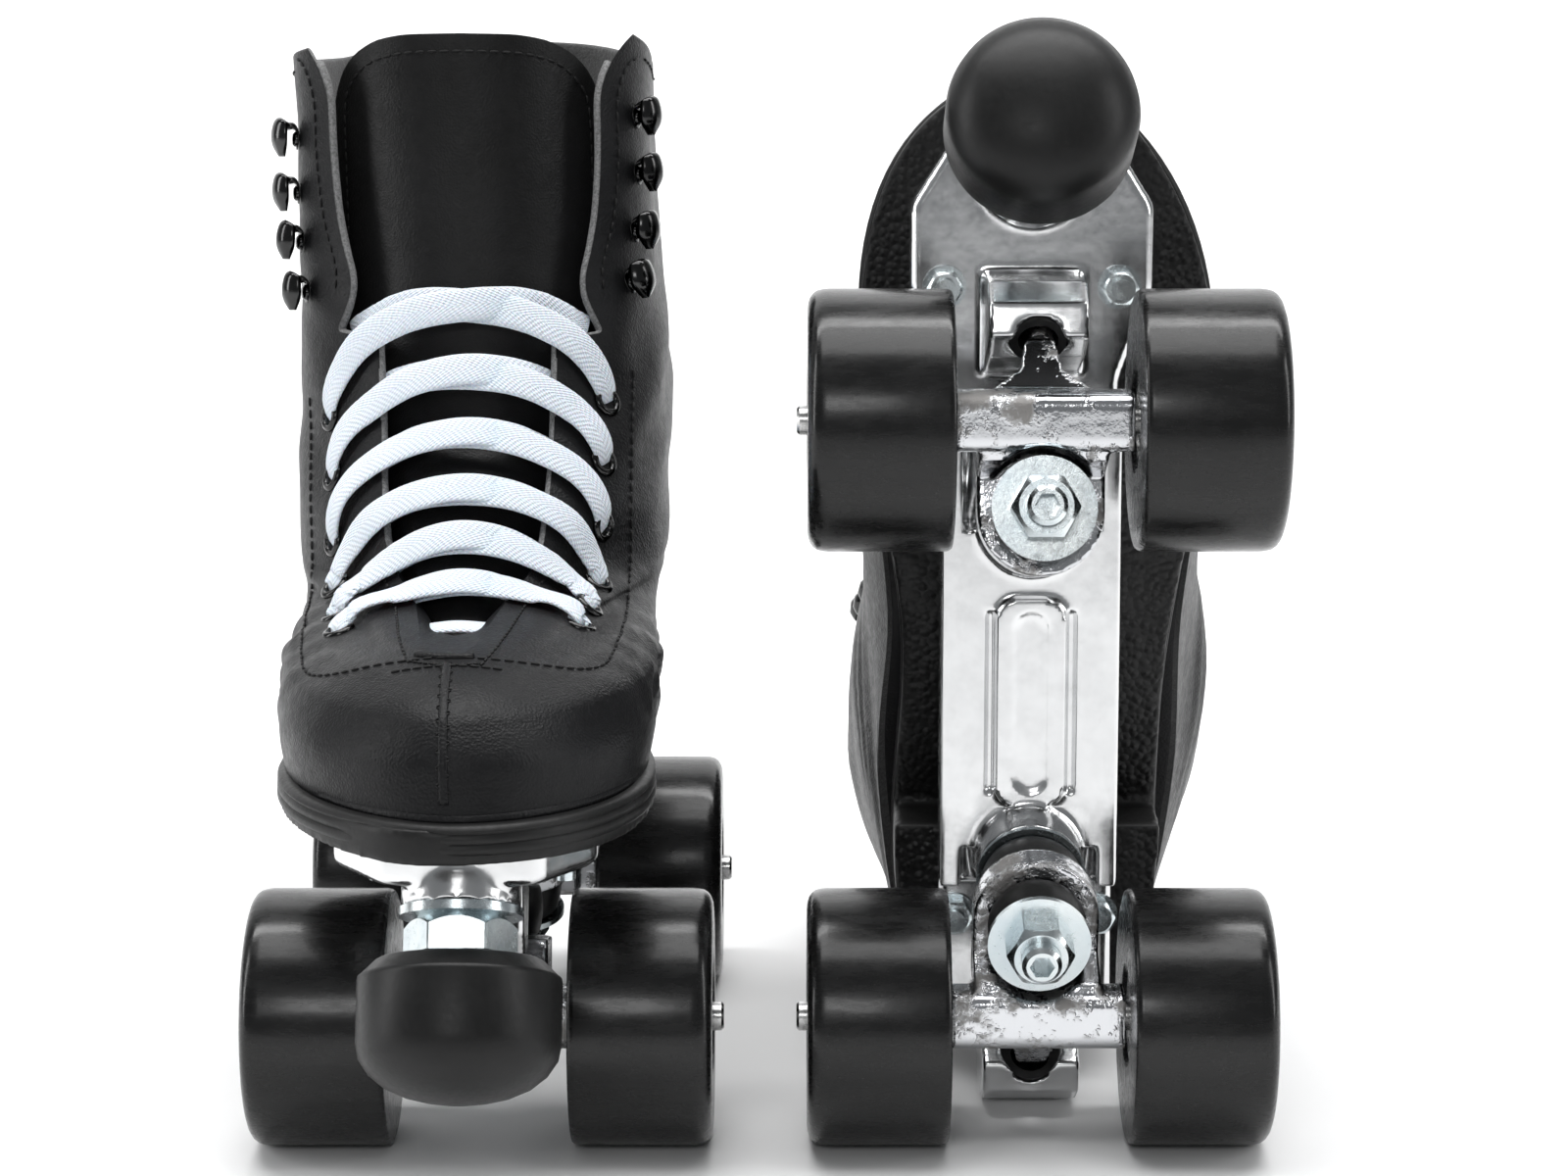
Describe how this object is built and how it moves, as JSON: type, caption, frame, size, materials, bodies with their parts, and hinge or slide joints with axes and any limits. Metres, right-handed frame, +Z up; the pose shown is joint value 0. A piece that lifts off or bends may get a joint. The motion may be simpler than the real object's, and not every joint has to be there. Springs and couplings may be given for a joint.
{
  "type": "quad roller skates",
  "caption": "Pair of black leather quad roller skates with metal plates, steering trucks, rolling wheels and toe stops; one stands and one lies on its back.",
  "frame": {"origin": "on the floor, in the middle of the pair's bounding box", "axes": "+X from the standing right skate to the lying left skate, +Y from the standing skate's toe to its heel, +Z up"},
  "size_m": [0.2544, 0.3261, 0.2691],
  "materials": {
    "leather": "satin grain",
    "lining": "raw flesh side",
    "sole": "satin",
    "lace": "flat woven",
    "black_metal": "gloss enamel",
    "aluminium": "polished casting",
    "chrome": "plated casting",
    "zinc": "bright zinc plating",
    "steel": "ground",
    "cushion": "satin urethane",
    "wheel": "gloss urethane",
    "stop": "matte"
  },
  "bodies": {
    "right_skate": {"right_upper": "leather", "right_tongue": "leather", "right_outsole": "sole", "right_insole": "lining", "right_eyelets": "black_metal", "right_lace_hooks": "black_metal", "right_lace": "lace", "right_plate": "aluminium", "right_mounting_screws": "zinc", "right_mounting_nuts": "zinc", "right_pivot_cups": "cushion", "right_kingpins": "zinc", "right_kingpin_nuts": "zinc", "right_cushion_washers": "zinc", "right_cushions": "cushion", "right_toe_stop_nut": "zinc"},
    "right_toe_stop": {"right_toe_stop_stem": "steel", "right_toe_stop_pad": "stop"},
    "right_front_truck": {"right_front_truck": "chrome", "right_front_axle": "steel", "right_front_axle_nuts": "zinc", "right_front_bearings": "steel"},
    "right_front_inner_wheel": {"right_front_inner_wheel": "wheel"},
    "right_front_outer_wheel": {"right_front_outer_wheel": "wheel"},
    "right_rear_truck": {"right_rear_truck": "chrome", "right_rear_axle": "steel", "right_rear_axle_nuts": "zinc", "right_rear_bearings": "steel"},
    "right_rear_inner_wheel": {"right_rear_inner_wheel": "wheel"},
    "right_rear_outer_wheel": {"right_rear_outer_wheel": "wheel"},
    "left_skate": {"left_upper": "leather", "left_tongue": "leather", "left_outsole": "sole", "left_insole": "lining", "left_eyelets": "black_metal", "left_lace_hooks": "black_metal", "left_lace": "lace", "left_plate": "aluminium", "left_mounting_screws": "zinc", "left_mounting_nuts": "zinc", "left_pivot_cups": "cushion", "left_kingpins": "zinc", "left_kingpin_nuts": "zinc", "left_cushion_washers": "zinc", "left_cushions": "cushion", "left_toe_stop_nut": "zinc"},
    "left_toe_stop": {"left_toe_stop_stem": "steel", "left_toe_stop_pad": "stop"},
    "left_front_truck": {"left_front_truck": "chrome", "left_front_axle": "steel", "left_front_axle_nuts": "zinc", "left_front_bearings": "steel"},
    "left_front_inner_wheel": {"left_front_inner_wheel": "wheel"},
    "left_front_outer_wheel": {"left_front_outer_wheel": "wheel"},
    "left_rear_truck": {"left_rear_truck": "chrome", "left_rear_axle": "steel", "left_rear_axle_nuts": "zinc", "left_rear_bearings": "steel"},
    "left_rear_inner_wheel": {"left_rear_inner_wheel": "wheel"},
    "left_rear_outer_wheel": {"left_rear_outer_wheel": "wheel"}
  },
  "joints": [
    {"name": "right_front_steer", "type": "hinge", "parent": "right_skate", "child": "right_front_truck", "pos_m": [-0.06675, -0.0875, 0.057], "axis": [0, -0.9277, 0.3733], "range_deg": [-8, 8], "stiffness_Nm_per_rad": 12, "deforming": ["right_cushions"]},
    {"name": "right_front_inner_wheel_spin", "type": "hinge", "parent": "right_front_truck", "child": "right_front_inner_wheel", "pos_m": [-0.02825, -0.069, 0.031], "axis": [1, 0, 0], "continuous": true},
    {"name": "right_front_outer_wheel_spin", "type": "hinge", "parent": "right_front_truck", "child": "right_front_outer_wheel", "pos_m": [-0.10525, -0.069, 0.031], "axis": [1, 0, 0], "continuous": true},
    {"name": "right_rear_steer", "type": "hinge", "parent": "right_skate", "child": "right_rear_truck", "pos_m": [-0.06675, 0.0945, 0.057], "axis": [0, 0.9277, 0.3733], "range_deg": [-8, 8], "stiffness_Nm_per_rad": 12, "deforming": ["right_cushions"]},
    {"name": "right_rear_inner_wheel_spin", "type": "hinge", "parent": "right_rear_truck", "child": "right_rear_inner_wheel", "pos_m": [-0.02825, 0.076, 0.031], "axis": [1, 0, 0], "continuous": true},
    {"name": "right_rear_outer_wheel_spin", "type": "hinge", "parent": "right_rear_truck", "child": "right_rear_outer_wheel", "pos_m": [-0.10525, 0.076, 0.031], "axis": [1, 0, 0], "continuous": true},
    {"name": "right_toe_stop_height", "type": "slide", "parent": "right_skate", "child": "right_toe_stop", "axis": [0, 0.4067, 0.9135], "range_m": [-0.008, 0]},
    {"name": "left_front_steer", "type": "hinge", "parent": "left_skate", "child": "left_front_truck", "pos_m": [0.06675, -0.043, 0.1945], "axis": [0, 0.3733, 0.9277], "range_deg": [-8, 8], "stiffness_Nm_per_rad": 12, "deforming": ["left_cushions"]},
    {"name": "left_front_inner_wheel_spin", "type": "hinge", "parent": "left_front_truck", "child": "left_front_inner_wheel", "pos_m": [0.02825, -0.069, 0.176], "axis": [1, 0, 0], "continuous": true},
    {"name": "left_front_outer_wheel_spin", "type": "hinge", "parent": "left_front_truck", "child": "left_front_outer_wheel", "pos_m": [0.10525, -0.069, 0.176], "axis": [1, 0, 0], "continuous": true},
    {"name": "left_rear_steer", "type": "hinge", "parent": "left_skate", "child": "left_rear_truck", "pos_m": [0.06675, -0.043, 0.0125], "axis": [0, 0.3733, -0.9277], "range_deg": [-8, 8], "stiffness_Nm_per_rad": 12, "deforming": ["left_cushions"]},
    {"name": "left_rear_inner_wheel_spin", "type": "hinge", "parent": "left_rear_truck", "child": "left_rear_inner_wheel", "pos_m": [0.02825, -0.069, 0.031], "axis": [1, 0, 0], "continuous": true},
    {"name": "left_rear_outer_wheel_spin", "type": "hinge", "parent": "left_rear_truck", "child": "left_rear_outer_wheel", "pos_m": [0.10525, -0.069, 0.031], "axis": [1, 0, 0], "continuous": true},
    {"name": "left_toe_stop_height", "type": "slide", "parent": "left_skate", "child": "left_toe_stop", "axis": [0, 0.9135, -0.4067], "range_m": [-0.008, 0]},
    {"name": "pair_apart", "type": "slide", "parent": "right_skate", "child": "left_skate", "axis": [1, 0, 0], "range_m": [0, 0.3]}
  ]
}
